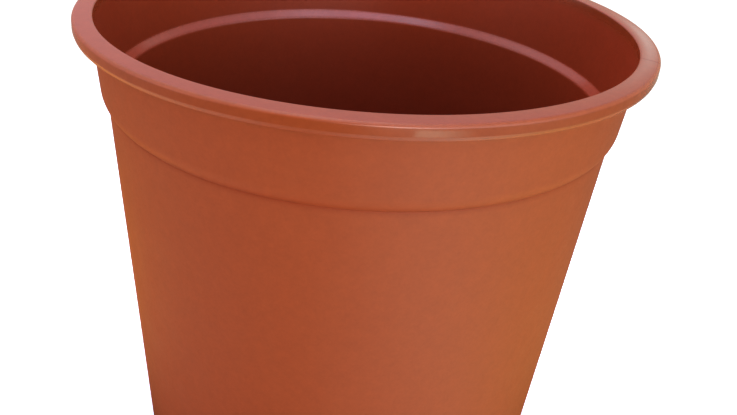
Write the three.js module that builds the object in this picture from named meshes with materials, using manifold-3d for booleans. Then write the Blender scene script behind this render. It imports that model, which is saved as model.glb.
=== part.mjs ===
// Round nursery pot, 28 cm across its rim and 24 cm tall, one injection-moulded piece of polypropylene.
//
// Frame: millimetres, +Z up, origin at the centre of the standing face, Z is the pot's axis of revolution.
// The group holds one mesh: a revolved profile with the drainage holes and the foot's drain grooves cut out.

import * as THREE from 'three';
import { mergeVertices } from 'three/addons/utils/BufferGeometryUtils.js';
import Module from 'manifold-3d';

// ---- driving dimensions (mm); R is a radius from the axis, Z a height above the standing face ----
const HEIGHT = 240;

const RIM_R = 140.1;           // outer corner of the rim
const RIM_INNER_R = 130.95;    // mouth of the pot, at the top of the rim
const RIM_PLATE = 2.0;         // thickness of the rim's flat top
const RIM_FILLET = 1.2;        // outer top edge
const MOUTH_FILLET = 0.9;      // inner top edge

const SKIRT_DROP = 6.5;        // top of the rim to the lower edge of the turned-down skirt
const SKIRT_INNER_R = 137.4;   // inside of the skirt, at its lower edge
const SKIRT_FLARE = 0.15;      // how much wider the inside of the skirt is at its top
const SKIRT_FILLET = 1.5;      // lower outer edge
const CHANNEL_COLLAR_FILLET = 0.9;  // corners of the channel between collar and skirt
const CHANNEL_SKIRT_FILLET = 0.6;

const COLLAR_TOP_R = 132.86;   // outer wall of the collar, carried up to z = HEIGHT
const COLLAR_SLOPE = 0.0997;   // loss of radius per mm going down the collar
const SHOULDER_TOP_Z = 205.0;  // where the collar starts to turn in
const SHOULDER_STEPS = 4;
const STEP_R = 126.2;          // sharp inside corner under the collar
const STEP_Z = 197.8;
const WALL_SLOPE = 0.0779;     // loss of radius per mm going down the lower wall

const LEDGE_TOP_R = 126.05;    // sloped ledge on the inner wall, behind the shoulder
const LEDGE_TOP_Z = 204.1;
const LEDGE_TOP_FILLET = 2.0;
const LEDGE_FOOT_R = 123.1;
const LEDGE_FOOT_Z = 199.2;
const LEDGE_FOOT_FILLET = 1.2;
const INNER_BASE_R = 109.1;    // inner wall carried down to the trough floor

const FLOOR = 2.2;             // floor thickness
const FLOOR_LIFT = 5.0;        // underside of the raised middle of the floor
const FOOT_INNER_R = 88.5;     // standing face runs from here out to the base edge
const TROUGH_INNER_R = FOOT_INNER_R + 1.7;  // trough inside the pot, above the foot
const FOOT_RAMP = 4.5;         // radial run of the slope from the foot up to the raised floor
const RAMP_TOP_FILLET = 1.5;
const RAMP_FOOT_FILLET = 1.2;
const BASE_EDGE_FILLET = 4.0;
const TROUGH_FILLET = 4.5;     // outer corner of the trough

const DRAIN_R = 5.5;           // drainage holes
const DRAIN_FACETS = 20;
const DRAIN_CUTTER = { length: 20, centreZ: 5 };
const OUTER_DRAINS = 8;
const OUTER_DRAIN_PITCH_R = 88.0;
const INNER_DRAINS = 4;
const INNER_DRAIN_PITCH_R = 42.0;

const GROOVES = 4;             // scooped drain grooves across the foot
const GROOVE_R = 14.0;
const GROOVE_DEPTH = 1.1;
const GROOVE_FACETS = 48;
const GROOVE_CUTTER = { length: 34, centreR: 100 };

const BODY_FACETS = 64;        // facets around the axis

// ---- profile, as points (radius, height) ----
const corner = (r, z, fillet = 0, steps = 0) => ({ point: new THREE.Vector2(r, z), fillet, steps });

// Points from centre + start to its place after turning by `angle` about the centre.
function arcPoints(centre, start, angle, steps) {
  const origin = new THREE.Vector2();
  return Array.from({ length: steps + 1 }, (_, k) => (
    start.clone().rotateAround(origin, angle * k / steps).add(centre)
  ));
}

// Replaces each corner that has a fillet by points on its tangent arc. The end corners have none.
function rounded(corners) {
  return corners.flatMap(({ point, fillet, steps }, i) => {
    if (!fillet) return [point];
    const toPrevious = corners[i - 1].point.clone().sub(point).normalize();
    const toNext = corners[i + 1].point.clone().sub(point).normalize();
    const halfAngle = Math.acos(toPrevious.dot(toNext)) / 2;
    const reach = fillet / Math.tan(halfAngle);
    const bisector = toPrevious.clone().add(toNext).normalize();
    const centre = point.clone().add(bisector.multiplyScalar(fillet / Math.sin(halfAngle)));
    const start = point.clone().addScaledVector(toPrevious, reach).sub(centre);
    const end = point.clone().addScaledVector(toNext, reach).sub(centre);
    let turn = Math.atan2(end.y, end.x) - Math.atan2(start.y, start.x);
    // take the short way round
    if (turn > Math.PI) turn -= 2 * Math.PI;
    if (turn < -Math.PI) turn += 2 * Math.PI;
    return arcPoints(centre, start, turn, steps);
  });
}

// Arc from the step's corner up to `top`, where it ends tangent to the collar wall.
function shoulderArc(step, top) {
  const chord = top.clone().sub(step);
  const wallAngle = Math.atan2(1, COLLAR_SLOPE);
  const halfTurn = wallAngle - Math.atan2(chord.y, chord.x);
  const radius = chord.length() / (2 * Math.sin(halfTurn));
  const inward = new THREE.Vector2(-Math.sin(wallAngle), Math.cos(wallAngle));
  const centre = top.clone().addScaledVector(inward, radius);
  return arcPoints(centre, step.clone().sub(centre), 2 * halfTurn, SHOULDER_STEPS);
}

function potProfile() {
  const collarR = (z) => COLLAR_TOP_R - COLLAR_SLOPE * (HEIGHT - z);
  const baseR = STEP_R - WALL_SLOPE * STEP_Z;
  const channelTop = HEIGHT - RIM_PLATE;
  const skirtBottom = HEIGHT - SKIRT_DROP;
  const step = corner(STEP_R, STEP_Z);
  const shoulderTop = corner(collarR(SHOULDER_TOP_Z), SHOULDER_TOP_Z);

  // underside, foot and outer wall up to the step
  const lower = rounded([
    corner(0, FLOOR_LIFT),
    corner(FOOT_INNER_R - FOOT_RAMP, FLOOR_LIFT, RAMP_TOP_FILLET, 1),
    corner(FOOT_INNER_R, 0, RAMP_FOOT_FILLET, 1),
    corner(baseR, 0, BASE_EDGE_FILLET, 3),
    step,
  ]);

  // collar, channel under the rim, skirt, top of the rim and the whole inside down to the axis
  const upper = rounded([
    shoulderTop,
    corner(collarR(channelTop), channelTop, CHANNEL_COLLAR_FILLET, 1),
    corner(SKIRT_INNER_R + SKIRT_FLARE, channelTop, CHANNEL_SKIRT_FILLET, 1),
    corner(SKIRT_INNER_R, skirtBottom),
    corner(RIM_R, skirtBottom, SKIRT_FILLET, 3),
    corner(RIM_R, HEIGHT, RIM_FILLET, 3),
    corner(RIM_INNER_R, HEIGHT, MOUTH_FILLET, 2),
    corner(LEDGE_TOP_R, LEDGE_TOP_Z, LEDGE_TOP_FILLET, 2),
    corner(LEDGE_FOOT_R, LEDGE_FOOT_Z, LEDGE_FOOT_FILLET, 1),
    corner(INNER_BASE_R, FLOOR, TROUGH_FILLET, 3),
    corner(TROUGH_INNER_R, FLOOR, RAMP_FOOT_FILLET, 1),
    corner(TROUGH_INNER_R - FOOT_RAMP, FLOOR_LIFT + FLOOR, RAMP_TOP_FILLET, 1),
    corner(0, FLOOR_LIFT + FLOOR),
  ]);

  // the shoulder supplies the points it shares with its neighbours
  const shoulder = shoulderArc(step.point, shoulderTop.point);
  return [...lower.slice(0, -1), ...shoulder, ...upper.slice(1)];
}

// ---- solids ----
const wasm = await Module();
wasm.setup();

// A closed geometry as a solid: shared vertices merged, collapsed faces dropped, faces pointing out.
function solid(geometry) {
  geometry.deleteAttribute('uv');
  geometry.deleteAttribute('normal');
  const merged = mergeVertices(geometry, 1e-4);
  const positions = merged.getAttribute('position').array;
  const indices = merged.getIndex().array;
  const triangles = [];
  const [a, b, c] = [new THREE.Vector3(), new THREE.Vector3(), new THREE.Vector3()];
  let volume = 0;
  for (let i = 0; i < indices.length; i += 3) {
    const [ia, ib, ic] = indices.subarray ? indices.subarray(i, i + 3) : indices.slice(i, i + 3);
    if (ia === ib || ib === ic || ic === ia) continue;
    triangles.push(ia, ib, ic);
    a.fromArray(positions, 3 * ia);
    b.fromArray(positions, 3 * ib);
    c.fromArray(positions, 3 * ic);
    volume += a.dot(b.cross(c)) / 6;
  }
  if (volume < 0) {
    for (let i = 0; i < triangles.length; i += 3) {
      [triangles[i + 1], triangles[i + 2]] = [triangles[i + 2], triangles[i + 1]];
    }
  }
  return new wasm.Manifold(new wasm.Mesh({
    numProp: 3,
    vertProperties: new Float32Array(positions),
    triVerts: new Uint32Array(triangles),
  }));
}

function toGeometry(manifold) {
  const mesh = manifold.getMesh();
  const geometry = new THREE.BufferGeometry();
  geometry.setAttribute('position', new THREE.BufferAttribute(mesh.vertProperties, 3));
  geometry.setIndex(new THREE.BufferAttribute(mesh.triVerts, 1));
  geometry.computeVertexNormals();
  return geometry;
}

// Upright cutter for one drainage hole.
function drainCutter(pitchR, angle) {
  const { length, centreZ } = DRAIN_CUTTER;
  return solid(new THREE.CylinderGeometry(DRAIN_R, DRAIN_R, length, DRAIN_FACETS)
    .rotateX(Math.PI / 2)
    .translate(pitchR * Math.cos(angle), pitchR * Math.sin(angle), centreZ));
}

// Cylinder lying along the radius, a flat facet on top, that scoops a groove out of the standing face.
function grooveCutter(angle) {
  const { length, centreR } = GROOVE_CUTTER;
  return solid(new THREE.CylinderGeometry(GROOVE_R, GROOVE_R, length, GROOVE_FACETS)
    .rotateZ(Math.PI / 2)
    .rotateX(Math.PI / GROOVE_FACETS)
    .translate(centreR, 0, GROOVE_DEPTH - GROOVE_R)
    .rotateZ(angle));
}

// Cutters evenly spaced about the axis; `offset` turns the ring by that fraction of its spacing.
function ring(count, offset, makeCutter) {
  return Array.from({ length: count }, (_, k) => makeCutter(2 * Math.PI * (k + offset) / count));
}

function potBody() {
  const blank = solid(new THREE.LatheGeometry(potProfile(), BODY_FACETS).rotateX(Math.PI / 2));
  const cutters = [
    // through the ramp of the foot
    ...ring(OUTER_DRAINS, 0, (angle) => drainCutter(OUTER_DRAIN_PITCH_R, angle)),
    // through the raised floor
    ...ring(INNER_DRAINS, 0.5, (angle) => drainCutter(INNER_DRAIN_PITCH_R, angle)),
    // a quarter of their spacing puts the grooves midway between outer holes
    ...ring(GROOVES, 0.25, grooveCutter),
  ];
  return cutters.reduce((body, cutter) => body.subtract(cutter), blank);
}

// ---- scene graph ----
const terracotta = new THREE.MeshStandardMaterial({
  color: new THREE.Color(0.62, 0.30, 0.18),
  roughness: 0.55,
  metalness: 0.0,
});

const pot = new THREE.Mesh(toGeometry(potBody()), terracotta);
pot.name = 'pot_body';

const group = new THREE.Group();
group.name = 'nursery_pot';
group.add(pot);

export default group;
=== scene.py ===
import math

import bmesh
import bpy
import numpy as np
from mathutils import Matrix, Vector


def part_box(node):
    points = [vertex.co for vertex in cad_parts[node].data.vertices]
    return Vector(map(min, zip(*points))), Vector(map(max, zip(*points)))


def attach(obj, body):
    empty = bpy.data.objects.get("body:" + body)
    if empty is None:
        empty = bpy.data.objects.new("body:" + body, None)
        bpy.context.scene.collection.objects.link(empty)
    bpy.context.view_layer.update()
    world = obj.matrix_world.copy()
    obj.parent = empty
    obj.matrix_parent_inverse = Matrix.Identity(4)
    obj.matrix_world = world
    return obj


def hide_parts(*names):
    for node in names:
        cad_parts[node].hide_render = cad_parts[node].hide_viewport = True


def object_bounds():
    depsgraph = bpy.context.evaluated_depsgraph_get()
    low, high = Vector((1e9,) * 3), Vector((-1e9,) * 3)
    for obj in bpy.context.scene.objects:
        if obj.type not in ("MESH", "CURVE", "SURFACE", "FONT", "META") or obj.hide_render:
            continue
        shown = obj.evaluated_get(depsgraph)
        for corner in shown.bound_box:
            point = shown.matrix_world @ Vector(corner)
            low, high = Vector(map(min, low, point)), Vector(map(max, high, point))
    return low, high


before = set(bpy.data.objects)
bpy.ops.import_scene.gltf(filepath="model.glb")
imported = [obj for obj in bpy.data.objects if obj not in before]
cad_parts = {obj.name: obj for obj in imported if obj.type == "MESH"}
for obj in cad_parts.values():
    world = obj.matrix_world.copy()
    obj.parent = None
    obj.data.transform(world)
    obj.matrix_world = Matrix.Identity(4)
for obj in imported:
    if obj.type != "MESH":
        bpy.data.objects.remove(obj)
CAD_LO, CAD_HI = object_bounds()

# The pot is one moulding. Its visual mesh is the CAD body's own profile with fine fillets, revolved at high
# resolution, with the moulding details that the faceted CAD solid leaves out. Profile lengths are in mm.

lo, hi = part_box("pot_body")
HEIGHT = (hi.z - lo.z) * 1000.0
RIM_R = 140.1
RIM_INNER_R = 130.95
RIM_PLATE = 2.0
SKIRT_BOTTOM = HEIGHT - 6.5
SKIRT_INNER_R = 137.4
COLLAR_TOP_R = 132.86
COLLAR_SLOPE = 0.0997
SHOULDER_TOP = 205.0
STEP_Z = 197.8
STEP_R = 126.2
WALL_SLOPE = 0.0779
LEDGE_TOP_R, LEDGE_TOP_Z = 125.95, 203.5
LEDGE_FOOT_R, LEDGE_FOOT_Z = 123.1, 199.2
INNER_BASE_R = 109.1
FLOOR, FLOOR_LIFT = 2.2, 5.0
FOOT_INNER_R, FOOT_RAMP = 88.5, 4.5
DRAIN_R, OUTER_DRAIN_PITCH_R, INNER_DRAIN_PITCH_R = 5.5, 88.0, 42.0
GROOVE_R, GROOVE_DEPTH = 14.0, 1.1
SEGMENTS = 432
SPACING = 6.0           # longest profile step along the straight walls


# ---- profile -----------------------------------------------------------------------------------------------

def rounded(corners):
    """[(r, z, fillet, steps), ...] to points, each filleted corner replaced by its tangent arc."""
    out = []
    for i, c in enumerate(corners):
        p = np.array(c[:2], float)
        fillet = c[2] if len(c) > 2 else 0.0
        steps = c[3] if len(c) > 3 else 5
        if not fillet or i in (0, len(corners) - 1):
            out.append(p)
            continue
        a = np.array(corners[i - 1][:2], float) - p
        b = np.array(corners[i + 1][:2], float) - p
        a, b = a / np.linalg.norm(a), b / np.linalg.norm(b)
        half = math.acos(max(-1.0, min(1.0, float(a @ b)))) / 2
        centre = p + (a + b) / np.linalg.norm(a + b) * fillet / math.sin(half)
        p0 = p + a * fillet / math.tan(half) - centre
        p1 = p + b * fillet / math.tan(half) - centre
        t0 = math.atan2(p0[1], p0[0])
        turn = (math.atan2(p1[1], p1[0]) - t0 + math.pi) % (2 * math.pi) - math.pi
        for k in range(steps + 1):
            t = t0 + turn * k / steps
            out.append(centre + fillet * np.array([math.cos(t), math.sin(t)]))
    return out


def collar_r(z):
    return COLLAR_TOP_R - COLLAR_SLOPE * (HEIGHT - z)


def wall_r(z):
    return STEP_R - WALL_SLOPE * (STEP_Z - z)


def shoulder(steps):
    """Arc from the step's corner, ending tangent to the collar wall."""
    p0 = np.array([STEP_R, STEP_Z])
    p1 = np.array([collar_r(SHOULDER_TOP), SHOULDER_TOP])
    chord = p1 - p0
    wall = math.atan2(1.0, COLLAR_SLOPE)
    half = wall - math.atan2(chord[1], chord[0])
    radius = np.linalg.norm(chord) / (2 * math.sin(half))
    centre = p1 + radius * np.array([-math.sin(wall), math.cos(wall)])
    s = p0 - centre
    out = []
    for k in range(steps + 1):
        t = 2 * half * k / steps
        out.append(centre + np.array([s[0] * math.cos(t) - s[1] * math.sin(t), s[0] * math.sin(t) + s[1] * math.cos(t)]))
    return out


def spaced(points, step):
    """Straight runs longer than step get points in between."""
    out = [points[0]]
    for p, q in zip(points, points[1:]):
        n = max(1, int(math.ceil(np.linalg.norm(q - p) / step)))
        out += [p + (q - p) * k / n for k in range(1, n + 1)]
    return out


def pot_profile():
    channel_top = HEIGHT - RIM_PLATE
    arc = shoulder(12)
    lower = rounded([
        (0, FLOOR_LIFT - 0.05),
        (1.35, FLOOR_LIFT - 0.05, 0.25, 3),
        (1.6, FLOOR_LIFT + 0.5, 0.15, 2),
        (6.0, FLOOR_LIFT + 0.5, 0.3, 3),
        (6.6, FLOOR_LIFT, 0.3, 3),
        (FOOT_INNER_R - FOOT_RAMP, FLOOR_LIFT, 1.5, 5),
        (FOOT_INNER_R, 0, 1.2, 5),
        (wall_r(0), 0, 4.0, 10),
        (wall_r(STEP_Z - 0.7), STEP_Z - 0.7, 0.7, 3),
        (STEP_R - 0.08, STEP_Z - 0.05, 0.5, 3),
        (STEP_R, STEP_Z + 0.3),
    ])
    upper = rounded([
        (collar_r(SHOULDER_TOP), SHOULDER_TOP),
        (collar_r(channel_top), channel_top, 0.9, 5),
        (SKIRT_INNER_R + 0.15, channel_top, 0.6, 4),
        (SKIRT_INNER_R, SKIRT_BOTTOM, 0.3, 3),
        (RIM_R - 0.55, SKIRT_BOTTOM, 0.45, 5),
        (RIM_R, SKIRT_BOTTOM + 1.75, 0.9, 4),
        (RIM_R, HEIGHT, 1.65, 10),
        (RIM_INNER_R, HEIGHT, 0.9, 6),
        (LEDGE_TOP_R + 0.1, LEDGE_TOP_Z, 1.6, 7),
        (LEDGE_FOOT_R - 0.1, LEDGE_FOOT_Z - 0.5, 3.0, 9),
        (INNER_BASE_R, FLOOR, 4.5, 8),
        (FOOT_INNER_R + 1.7, FLOOR, 1.2, 5),
        (FOOT_INNER_R + 1.7 - FOOT_RAMP, FLOOR_LIFT + FLOOR, 1.5, 5),
        (0, FLOOR_LIFT + FLOOR),
    ])
    head = spaced(lower[:-1], SPACING)
    tail = spaced(upper[1:], SPACING)
    return np.array(head + arc[1:] + tail)


def revolve(profile, segments, name):
    """Closed solid of revolution: the profile starts and ends on the axis."""
    inner = profile[1:-1]
    n = len(inner)
    ang = 2 * math.pi * np.arange(segments) / segments
    ring = np.stack([
        inner[:, 0][:, None] * np.cos(ang)[None],
        inner[:, 0][:, None] * np.sin(ang)[None],
        np.repeat(inner[:, 1][:, None], segments, 1)], -1).reshape(-1, 3)
    co = np.vstack([ring, [[0, 0, profile[0, 1]], [0, 0, profile[-1, 1]]]]) / 1000.0
    j = np.arange(segments)
    k = (j + 1) % segments
    faces = []
    for i in range(n - 1):
        a, b = i * segments, (i + 1) * segments
        faces += np.stack([a + j, a + k, b + k, b + j], 1).tolist()
    start, end = n * segments, n * segments + 1
    faces += np.stack([np.full(segments, start), k, j], 1).tolist()
    last = (n - 1) * segments
    faces += np.stack([np.full(segments, end), last + j, last + k], 1).tolist()
    me = bpy.data.meshes.new(name)
    me.from_pydata(co.tolist(), [], faces)
    me.update()
    ob = bpy.data.objects.new(name, me)
    bpy.context.scene.collection.objects.link(ob)
    return ob


pot = revolve(pot_profile(), SEGMENTS, "nursery_pot_moulding")


# ---- drainage holes and drain grooves ------------------------------------------------------------------------

def cutter(profile, segments, matrix):
    ob = revolve(np.array(profile, float), segments, "cutter")
    ob.data.transform(matrix)
    return ob


def flared_drain():
    """A hole through the raised floor whose two edges are rounded by 0.35 mm."""
    top, bottom, f = FLOOR_LIFT + FLOOR, FLOOR_LIFT, 0.35
    pts = [(0, bottom - 3), (DRAIN_R + f + 3, bottom - 3)]
    pts += [(DRAIN_R + f - f * math.sin(t), bottom + f - f * math.cos(t)) for t in np.linspace(0.05, math.pi / 2, 5)]
    pts += [(DRAIN_R + f - f * math.cos(t), top - f + f * math.sin(t)) for t in np.linspace(0, math.pi / 2 - 0.05, 5)]
    pts += [(DRAIN_R + f + 3, top + 3), (0, top + 3)]
    return pts


cutters = []
for i in range(4):
    a = 2 * math.pi * (i + 0.5) / 4
    m = Matrix.Translation((INNER_DRAIN_PITCH_R * math.cos(a) / 1000, INNER_DRAIN_PITCH_R * math.sin(a) / 1000, 0))
    cutters.append(cutter(flared_drain(), 48, m))
for i in range(8):
    a = 2 * math.pi * i / 8
    m = Matrix.Translation((OUTER_DRAIN_PITCH_R * math.cos(a) / 1000, OUTER_DRAIN_PITCH_R * math.sin(a) / 1000, 0))
    cutters.append(cutter([(0, -4), (DRAIN_R, -4), (DRAIN_R, 14), (0, 14)], 48, m))
for i in range(4):
    a = 2 * math.pi * (i + 0.25) / 4
    m = (Matrix.Rotation(a, 4, "Z") @ Matrix.Translation((0.083, 0, (GROOVE_DEPTH - GROOVE_R) / 1000))
         @ Matrix.Rotation(math.pi / 2, 4, "Y"))
    cutters.append(cutter([(0, 0), (GROOVE_R, 0), (GROOVE_R, 34), (0, 34)], 160, m))

bm = bmesh.new()
for c in cutters:
    bm.from_mesh(c.data)
bmesh.ops.recalc_face_normals(bm, faces=bm.faces)
cut_mesh = bpy.data.meshes.new("cutters")
bm.to_mesh(cut_mesh)
bm.free()
cut = bpy.data.objects.new("cutters", cut_mesh)
bpy.context.scene.collection.objects.link(cut)

mod = pot.modifiers.new("drains", "BOOLEAN")
mod.operation = "DIFFERENCE"
mod.solver = "EXACT"
mod.object = cut
depsgraph = bpy.context.evaluated_depsgraph_get()
made = bpy.data.meshes.new_from_object(pot.evaluated_get(depsgraph))
pot.modifiers.clear()
pot.data = made
made.name = "nursery_pot_moulding"
for c in cutters + [cut]:
    bpy.data.objects.remove(c)


# ---- the moulding's own unevenness -----------------------------------------------------------------------------
# A cooled thin wall is never a perfect cone: the mouth goes slightly oval, the wall pulls in and out by a few
# hundredths of a millimetre. All of it is under half a millimetre, so every dimension stays the CAD's.

def warp(me):
    co = np.zeros(len(me.vertices) * 3, np.float32)
    me.vertices.foreach_get("co", co)
    co = co.reshape(-1, 3).astype(float)
    r = np.hypot(co[:, 0], co[:, 1])
    t = np.arctan2(co[:, 1], co[:, 0])
    z = co[:, 2] * 1000
    up = np.clip(z / HEIGHT, 0, 1)
    wall = np.clip((r * 1000 - 100) / 10, 0, 1) * np.clip((z - 12) / 40, 0, 1)
    dr = 0.16 * np.sin(2 * t + 0.7) * up ** 2 + 0.07 * np.sin(3 * t + 2.1) * up
    dr += 0.035 * np.sin(5 * t + 1.3 + z / 55) + 0.025 * np.sin(9 * t + 0.4 - z / 38) + 0.015 * np.sin(14 * t + 2.6 + z / 23)
    dr *= wall
    dz = 0.10 * np.sin(3 * t + 0.9) * np.clip((z - 200) / 35, 0, 1) * wall
    r2 = r + dr / 1000
    s = np.where(r > 1e-9, r2 / np.maximum(r, 1e-9), 1.0)
    co[:, 0] *= s
    co[:, 1] *= s
    co[:, 2] += dz / 1000
    me.vertices.foreach_set("co", co.astype(np.float32).ravel())
    me.update()


warp(pot.data)
pot.data.shade_smooth()
pot.data.set_sharp_from_angle(angle=math.radians(38))


# ---- material ----------------------------------------------------------------------------------------------

class Nodes:
    def __init__(self, tree):
        self.t = tree
        tree.nodes.clear()

    def new(self, kind, **values):
        n = self.t.nodes.new(kind)
        for k, v in values.items():
            setattr(n, k, v)
        return n

    def link(self, a, b):
        self.t.links.new(a, b)

    def put(self, value, socket):
        if isinstance(value, (int, float, tuple, list)):
            socket.default_value = value
        else:
            self.link(value, socket)

    def math(self, op, a, b=0.0, c=0.0, clamp=False):
        n = self.new("ShaderNodeMath", operation=op, use_clamp=clamp)
        for v, s in zip((a, b, c), n.inputs):
            self.put(v, s)
        return n.outputs[0]

    def ramp(self, x, x0, x1, y0=0.0, y1=1.0):
        n = self.new("ShaderNodeMapRange", clamp=True)
        for v, s in zip((x, x0, x1, y0, y1), n.inputs):
            self.put(v, s)
        return n.outputs[0]

    def noise(self, vector, scale, detail=2.0, rough=0.5, distort=0.0):
        n = self.new("ShaderNodeTexNoise")
        self.link(vector, n.inputs["Vector"])
        n.inputs["Scale"].default_value = scale
        n.inputs["Detail"].default_value = detail
        n.inputs["Roughness"].default_value = rough
        n.inputs["Distortion"].default_value = distort
        return n.outputs["Fac"]

    def tint(self, colour, fac, factors):
        """The colour times the factors, where fac is 1."""
        v = self.new("ShaderNodeMix", data_type="VECTOR")
        self.put(fac, v.inputs[0])
        self.put((1, 1, 1), v.inputs[4])
        self.put(factors, v.inputs[5])
        m = self.new("ShaderNodeVectorMath", operation="MULTIPLY")
        self.link(colour, m.inputs[0])
        self.link(v.outputs[1], m.inputs[1])
        return m.outputs[0]

    def mix(self, fac, a, b):
        n = self.new("ShaderNodeMix", data_type="RGBA")
        self.put(fac, n.inputs[0])
        self.put(a, n.inputs[6])
        self.put(b, n.inputs[7])
        return n.outputs[2]


BASE = (0.34, 0.066, 0.019)


def pot_material():
    mat = bpy.data.materials.new("pot_plastic")
    mat.use_nodes = True
    g = Nodes(mat.node_tree)
    out = g.new("ShaderNodeOutputMaterial")
    b = g.new("ShaderNodeBsdfPrincipled")
    g.link(b.outputs[0], out.inputs[0])
    pos = g.new("ShaderNodeTexCoord").outputs["Object"]
    sep = g.new("ShaderNodeSeparateXYZ")
    g.link(pos, sep.inputs[0])
    x, y, z = sep.outputs
    r = g.math("SQRT", g.math("ADD", g.math("MULTIPLY", x, x), g.math("MULTIPLY", y, y)))
    theta = g.math("ARCTAN2", y, x)

    # zones: the rim's top and skirt came off polished steel, the inside off a satin core, the outside off a
    # finely blasted cavity
    rim = g.math("MULTIPLY", g.ramp(z, 0.2330, 0.2336), g.ramp(r, 0.1302, 0.1310))
    wall_mid = g.math("ADD", g.math("MULTIPLY", z, 0.076), 0.1098)      # radius half way through the wall
    collar_mid = g.math("ADD", g.math("MULTIPLY", g.math("SUBTRACT", z, 0.240), 0.110), 0.1319)
    mid = g.math("MINIMUM", g.math("MAXIMUM", wall_mid, g.math("MULTIPLY", g.math("GREATER_THAN", z, 0.2005), collar_mid)), 1.0)
    outside = g.math("MAXIMUM", g.math("GREATER_THAN", r, mid), g.math("LESS_THAN", z, 0.001))
    ledge = g.math("MULTIPLY", g.math("MULTIPLY", g.ramp(z, 0.1978, 0.2002), g.ramp(z, 0.2044, 0.2024)), g.math("SUBTRACT", 1.0, outside))

    # flow lines run up the wall from the gate in the floor
    stretch = g.new("ShaderNodeCombineXYZ")
    g.link(g.math("MULTIPLY", theta, 0.13), stretch.inputs[0])
    g.link(g.math("MULTIPLY", z, 0.10), stretch.inputs[1])
    g.link(g.math("MULTIPLY", r, 0.3), stretch.inputs[2])
    flow = g.noise(stretch.outputs[0], 160.0, 3.0, 0.55)

    cloud = g.noise(pos, 60.0, 4.0, 0.6)
    speck = g.noise(pos, 900.0, 2.0, 0.6)
    grain = g.noise(pos, 2600.0, 3.0, 0.65)
    orange = g.noise(pos, 260.0, 2.0, 0.5)

    base = BASE
    dark = (base[0] * 0.985, base[1] * 0.97, base[2] * 0.96, 1)
    light = (base[0] * 1.015, base[1] * 1.03, base[2] * 1.04, 1)
    c = g.mix(g.ramp(cloud, 0.3, 0.7), dark, light)
    c = g.mix(g.math("MULTIPLY", g.ramp(flow, 0.55, 0.8), 0.18), c, (base[0] * 1.05, base[1] * 1.2, base[2] * 1.4, 1))
    c = g.mix(g.math("MULTIPLY", g.ramp(speck, 0.6, 0.78), 0.14), c, (base[0] * 0.82, base[1] * 0.72, base[2] * 0.7, 1))
    tone = g.new("ShaderNodeVectorMath", operation="SCALE")
    g.link(c, tone.inputs[0])
    mottle = g.math("ADD", g.ramp(g.noise(pos, 700.0, 3.0, 0.6), 0.0, 1.0, 0.90, 1.10), g.ramp(g.noise(pos, 230.0, 2.0, 0.5), 0.0, 1.0, -0.09, 0.09))
    g.link(mottle, tone.inputs["Scale"])
    c = tone.outputs[0]
    # the outer wall and the inside get different tints that stand in for the different light on them (painted light);
    # the inside is painted darker towards the floor (painted shade); the ledge is painted paler and bluer (painted
    # highlight)
    inside = g.math("SUBTRACT", 1.0, g.math("MAXIMUM", outside, rim))
    wall = g.math("MULTIPLY", outside, g.math("SUBTRACT", 1.0, rim))
    c = g.tint(c, wall, (0.91, 1.03, 1.03))
    c = g.tint(c, inside, (1.17, 0.93, 0.92))
    painted_depth_shade = g.math("MULTIPLY", inside, g.ramp(z, 0.215, 0.100))
    c = g.tint(c, painted_depth_shade, (0.74, 0.66, 0.72))
    # painted highlight: the rim's outer edge is painted paler and bluer
    facing = g.new("ShaderNodeSeparateXYZ")
    g.link(g.new("ShaderNodeNewGeometry").outputs["Normal"], facing.inputs[0])
    edge = g.math("MULTIPLY", g.ramp(facing.outputs[2], 0.997, 0.90), g.ramp(facing.outputs[2], 0.1, 0.65))
    edge = g.math("MULTIPLY", g.math("MULTIPLY", edge, g.ramp(r, 0.1370, 0.1376)), rim)
    c = g.tint(c, edge, (1.2, 1.5, 1.8))
    # painted shade: the rim's upright and downward-facing surfaces are painted darker and less red
    c = g.tint(c, g.math("MULTIPLY", rim, g.ramp(facing.outputs[2], 0.4, 0.05)), (0.84, 0.94, 0.95))
    # one fine scratch across the rim
    askew = g.math("MULTIPLY_ADD", r, 2.5, 0.345 - 0.135 * 2.5)
    scratch = g.ramp(g.math("ABSOLUTE", g.math("ADD", theta, askew)), 0.002, 0.007, 1.0, 0.0)
    scratch = g.math("MULTIPLY", g.math("MULTIPLY", scratch, rim), g.ramp(facing.outputs[2], 0.5, 0.9))
    c = g.tint(c, scratch, (0.80, 0.6, 0.55))
    # painted highlight: the ledge is painted paler and bluer, standing in for the sky's reflection in it
    c = g.tint(c, ledge, (1.42, 1.85, 3.1))
    # painted shade: the inside corners of the step and the wall just under the skirt are painted darker
    near_step = g.math("ABSOLUTE", g.math("SUBTRACT", z, STEP_Z / 1000))
    near_skirt = g.math("SUBTRACT", SKIRT_BOTTOM / 1000, z)
    corner = g.math("MULTIPLY", g.math("POWER", g.ramp(near_step, 0.0, 0.0030, 1.0, 0.0), 1.2), 0.36)
    corner = g.math("MAXIMUM", corner, g.math("MULTIPLY", g.math("MULTIPLY", g.ramp(near_skirt, 0.0, 0.004, 1.0, 0.0), g.math("GREATER_THAN", near_skirt, 0.0)), 0.12))
    corner = g.math("MULTIPLY", corner, g.math("MULTIPLY", outside, g.math("SUBTRACT", 1.0, rim)))
    c = g.mix(corner, c, (base[0] * 0.60, base[1] * 0.25, base[2] * 0.02, 1))
    g.link(c, b.inputs["Base Color"])

    def lerp(fac, p, q):
        n = g.new("ShaderNodeMix", data_type="FLOAT")
        for v, i in ((fac, 0), (p, 2), (q, 3)):
            g.put(v, n.inputs[i])
        return n.outputs[0]

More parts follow.
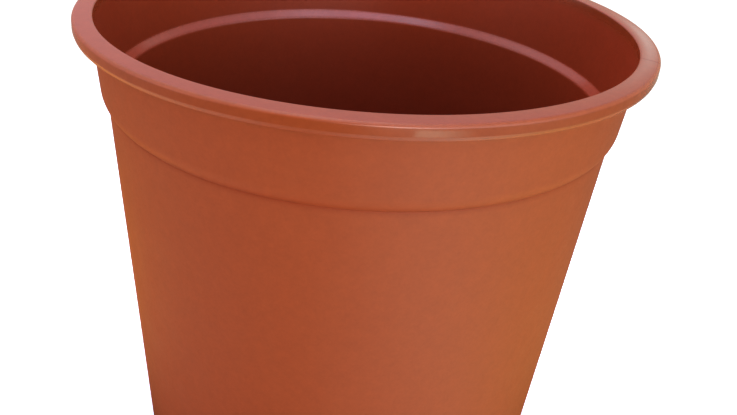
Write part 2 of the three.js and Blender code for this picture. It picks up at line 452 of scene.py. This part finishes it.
    vary = g.math("ADD", g.ramp(cloud, 0.3, 0.7, -0.03, 0.03), g.ramp(speck, 0.4, 0.7, -0.02, 0.02))
    rough = lerp(outside, 0.42, 0.52)
    rough = lerp(ledge, rough, 0.18)
    rough = g.math("ADD", lerp(rim, rough, lerp(edge, 0.09, 0.24)), g.math("MULTIPLY", vary, lerp(rim, 1.0, 0.4)))
    g.link(rough, b.inputs["Roughness"])
    b.inputs["IOR"].default_value = 1.49
    gloss = lerp(outside, 0.31, 0.26)
    gloss = lerp(ledge, gloss, 0.95)
    # the skirt's upright face is less polished than the rim's top
    flat = g.ramp(g.math("ABSOLUTE", facing.outputs[2]), 0.03, 0.25)
    gloss = lerp(rim, gloss, lerp(flat, 0.2, 0.5))
    g.link(lerp(scratch, gloss, 0.3), b.inputs["Specular IOR Level"])

    height = g.math("ADD", g.math("MULTIPLY", grain, 0.010), g.math("MULTIPLY", orange, 0.012))
    height = g.math("ADD", height, g.math("MULTIPLY", flow, 0.02))
    height = g.math("MULTIPLY", height, lerp(rim, 1.0, 0.25))
    bump = g.new("ShaderNodeBump")
    bump.inputs["Strength"].default_value = 0.6
    bump.inputs["Distance"].default_value = 0.001
    g.link(height, bump.inputs["Height"])
    g.link(bump.outputs[0], b.inputs["Normal"])
    return mat


pot.data.materials.clear()
pot.data.materials.append(pot_material())
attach(pot, "root")
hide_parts("pot_body")


# ---- studio ------------------------------------------------------------------------------------------------
# One smooth surround lights the pot. Each source is a round soft patch of it: azimuth (0 = from the camera's side,
# 90 = from the right), elevation, sharpness, colour. The sky carries the part above the horizon and the floor glows
# with the part below it. The camera itself sees a plain white room.

SOURCES = [
    (0, 88, 3, (0.1, 0.1, 0.5)),
    (0, 88, 12, (1.3, 1.8, 2.1)),
    (-32, 51, 40, (0.8, 1.5, 2.0)),
    (0, 51, 60, (1.2, 1.1, 1.5)),
    (32, 51, 40, (0.8, 1.0, 1.3)),
    (-120, 50, 8, (0.3, 0.7, 0.8)),
    (180, 50, 8, (1.6, 1.1, 1.2)),
    (-155, 20, 14, (0.3, 0.1, 0.1)),
    (159, 15, 1500, (0.5, 0.8, 0.8)),
    (20, 10, 12, (0.5, 0.3, 0.6)),
    (-150, 8, 7, (0.4, 0.3, 0.3)),
    (-105, 8, 7, (0.7, 0.3, 0.3)),
    (-70, 8, 7, (0.9, 1.1, 1.2)),
    (50, 8, 7, (1.1, 2.0, 2.4)),
    (115, 8, 7, (0.3, 0.3, 0.3)),
    (150, 8, 7, (0.5, 0.4, 0.3)),
    (15, 2, 30, (7.0, 6.6, 6.4)),
    (180, -36, 6, (0.4, 0.4, 0.3)),
    (-110, -36, 14, (0.9, 0.4, 0)),
    (-75, -36, 14, (1.1, 0.65, 0.35)),
    (-40, -36, 14, (0.8, 0.7, 0.7)),
    (0, -38, 60, (0.3, 0.4, 0.5)),
    (30, -36, 14, (0.9, 1.4, 1.5)),
    (65, -36, 14, (0.7, 0.6, 0.1)),
    (100, -36, 14, (0.8, 0.4, 0.2)),
    (20, -62, 10, (0.9, 0.2, 0)),
]
CARD = (3.5, 5.2, 4.4)          # bright card on the floor, front right


def surround(g, vector, sources):
    total = None
    for az, el, sharp, colour in sources:
        a, e = math.radians(az), math.radians(el)
        dot = g.new("ShaderNodeVectorMath", operation="DOT_PRODUCT")
        g.link(vector, dot.inputs[0])
        dot.inputs[1].default_value = (math.sin(a) * math.cos(e), -math.cos(a) * math.cos(e), math.sin(e))
        weight = g.math("EXPONENT", g.math("MULTIPLY_ADD", dot.outputs["Value"], float(sharp), -float(sharp)))
        part = g.new("ShaderNodeVectorMath", operation="SCALE")
        part.inputs[0].default_value = colour
        g.link(weight, part.inputs["Scale"])
        if total is None:
            total = part.outputs[0]
        else:
            add = g.new("ShaderNodeVectorMath", operation="ADD")
            g.link(total, add.inputs[0])
            g.link(part.outputs[0], add.inputs[1])
            total = add.outputs[0]
    return total


def split(g, kind, lit, seen):
    """lit for every ray but the camera's, seen for the camera's."""
    path = g.new("ShaderNodeLightPath")
    mix = g.new("ShaderNodeMixShader")
    g.link(path.outputs["Is Camera Ray"], mix.inputs[0])
    g.link(lit, mix.inputs[1])
    g.link(seen, mix.inputs[2])
    g.link(mix.outputs[0], g.new(kind).inputs[0])


def light_floor(tree, sources):
    g = Nodes(tree)
    where = g.new("ShaderNodeNewGeometry").outputs["Position"]
    sep = g.new("ShaderNodeSeparateXYZ")
    g.link(where, sep.inputs[0])
    r = g.math("SQRT", g.math("ADD", g.math("MULTIPLY", sep.outputs[0], sep.outputs[0]), g.math("MULTIPLY", sep.outputs[1], sep.outputs[1])))
    way = g.new("ShaderNodeVectorMath", operation="SUBTRACT")
    g.link(where, way.inputs[0])
    way.inputs[1].default_value = (0, 0, 0.20)
    unit = g.new("ShaderNodeVectorMath", operation="NORMALIZE")
    g.link(way.outputs[0], unit.inputs[0])
    glow = g.new("ShaderNodeEmission")
    # under the standing pot the floor gives plain light, so that the underside can be read
    g.link(g.mix(g.ramp(r, 0.080, 0.100), (4.0, 3.9, 3.8, 1), surround(g, unit.outputs[0], sources)), glow.inputs[0])
    g.link(g.ramp(r, 0.09, 0.17, 0.25, 1.0), glow.inputs[1])
    shade = g.new("ShaderNodeBsdfDiffuse")
    shade.inputs[0].default_value = (1.7, 1.7, 1.7, 1)
    white = g.new("ShaderNodeEmission")
    white.inputs[0].default_value = (1, 1, 1, 1)
    far = g.new("ShaderNodeMixShader")
    g.link(g.ramp(r, 0.20, 0.75), far.inputs[0])
    g.link(shade.outputs[0], far.inputs[1])
    g.link(white.outputs[0], far.inputs[2])
    seen = g.new("ShaderNodeMixShader")             # from below the floor is clear
    g.link(g.new("ShaderNodeNewGeometry").outputs["Backfacing"], seen.inputs[0])
    g.link(far.outputs[0], seen.inputs[1])
    g.link(g.new("ShaderNodeBsdfTransparent").outputs[0], seen.inputs[2])
    split(g, "ShaderNodeOutputMaterial", glow.outputs[0], seen.outputs[0])


def light_world(tree, sources):
    g = Nodes(tree)
    lit = g.new("ShaderNodeBackground")
    g.link(surround(g, g.new("ShaderNodeTexCoord").outputs["Generated"], sources), lit.inputs[0])
    seen = g.new("ShaderNodeBackground")
    seen.inputs[0].default_value = (1, 1, 1, 1)
    split(g, "ShaderNodeOutputWorld", lit.outputs[0], seen.outputs[0])


def light_card(tree, colour):
    """Adds its light to the floor's: brightest along its left edge, fading to the right."""
    g = Nodes(tree)
    sep = g.new("ShaderNodeSeparateXYZ")
    g.link(g.new("ShaderNodeTexCoord").outputs["Object"], sep.inputs[0])
    glow = g.new("ShaderNodeEmission")
    glow.inputs[0].default_value = (*colour, 1)
    both = g.new("ShaderNodeAddShader")
    angle = g.math("ARCTAN2", sep.outputs[0], g.math("MULTIPLY", sep.outputs[1], -1.0))
    g.link(g.ramp(angle, math.radians(30), math.radians(46), 1.0, 0.0), glow.inputs[1])
    g.link(glow.outputs[0], both.inputs[0])
    g.link(g.new("ShaderNodeBsdfTransparent").outputs[0], both.inputs[1])
    g.link(both.outputs[0], g.new("ShaderNodeOutputMaterial").inputs[0])


def sheet(name, points, z):
    me = bpy.data.meshes.new(name)
    me.from_pydata([(x, y, z) for x, y in points], [], [list(range(len(points)))])
    ob = bpy.data.objects.new(name, me)
    mat = bpy.data.materials.new(name)
    mat.use_nodes = True
    me.materials.append(mat)
    bpy.context.scene.collection.objects.link(ob)
    return ob


n, far = 96, 12.0
floor = sheet("floor", [(far * math.cos(2 * math.pi * k / n), far * math.sin(2 * math.pi * k / n)) for k in range(n)], CAD_LO.z)
light_floor(floor.data.materials[0].node_tree, SOURCES)

# the card's object origin is the point of the skirt that mirrors its left edge
edges = [math.radians(a) for a in (21, 27, 34, 40, 46)]
card = sheet("card", [(0.44 * math.sin(a), -0.44 * math.cos(a)) for a in edges]
             + [(0.64 * math.sin(a), -0.64 * math.cos(a)) for a in reversed(edges)], 0.0)
card.location = (0.0198, -0.1387, CAD_LO.z + 0.001)
card.visible_camera = False
light_card(card.data.materials[0].node_tree, CARD)

world = bpy.data.worlds.new("studio")
bpy.context.scene.world = world
world.use_nodes = True
light_world(world.node_tree, SOURCES)


# ---- camera ------------------------------------------------------------------------------------------------
# Close-up, held a little turned, aimed below the picture's own middle: lens shift puts the crop back.

R = 0.140
RHO, LIFT, YAW, PITCH, ROLL = 2.6525, 0.7321, -0.01696, 0.40112, 0.07746
FOCAL_PX, CX, CY = 760.0, 346.62, 108.71
W, H = 737.0, 415.0
fwd = Vector((math.sin(YAW) * math.cos(PITCH), math.cos(YAW) * math.cos(PITCH), -math.sin(PITCH)))
right = Vector((math.cos(YAW), -math.sin(YAW), 0))
up = right.cross(fwd)
r2 = math.cos(ROLL) * right + math.sin(ROLL) * up
u2 = -math.sin(ROLL) * right + math.cos(ROLL) * up
rim_top = CAD_HI.z

cam_data = bpy.data.cameras.new("camera")
cam = bpy.data.objects.new("camera", cam_data)
bpy.context.scene.collection.objects.link(cam)
cam.rotation_mode = "QUATERNION"
cam.location = (0.0, -RHO * R, LIFT * R + rim_top)
cam.rotation_quaternion = Matrix((r2, u2, -fwd)).transposed().to_quaternion()
cam_data.sensor_width = 36.0
cam_data.lens = FOCAL_PX * 36.0 / W
cam_data.clip_start, cam_data.clip_end = 0.01, 50.0
bpy.context.scene.camera = cam


def shift(path, value):
    """The crop's shift holds only where the close-up camera stands; from anywhere else the lens is centred."""
    driver = cam_data.driver_add(path).driver
    driver.type = "SCRIPTED"
    var = driver.variables.new()
    var.name = "h"
    var.type = "TRANSFORMS"
    var.targets[0].id = cam
    var.targets[0].transform_type = "LOC_Z"
    var.targets[0].transform_space = "WORLD_SPACE"
    driver.expression = f"{value:.6f} if abs(h - {cam.location.z:.6f}) < 0.0002 else 0.0"


shift("shift_x", (W / 2 - CX) / W)
shift("shift_y", (CY - H / 2) / W)

# a camera's own contrast: shadows a little deeper, mid-tones kept
view = bpy.context.scene.view_settings
view.view_transform = "Standard"
view.exposure = 0.26
view.gamma = 0.80

bpy.context.view_layer.update()
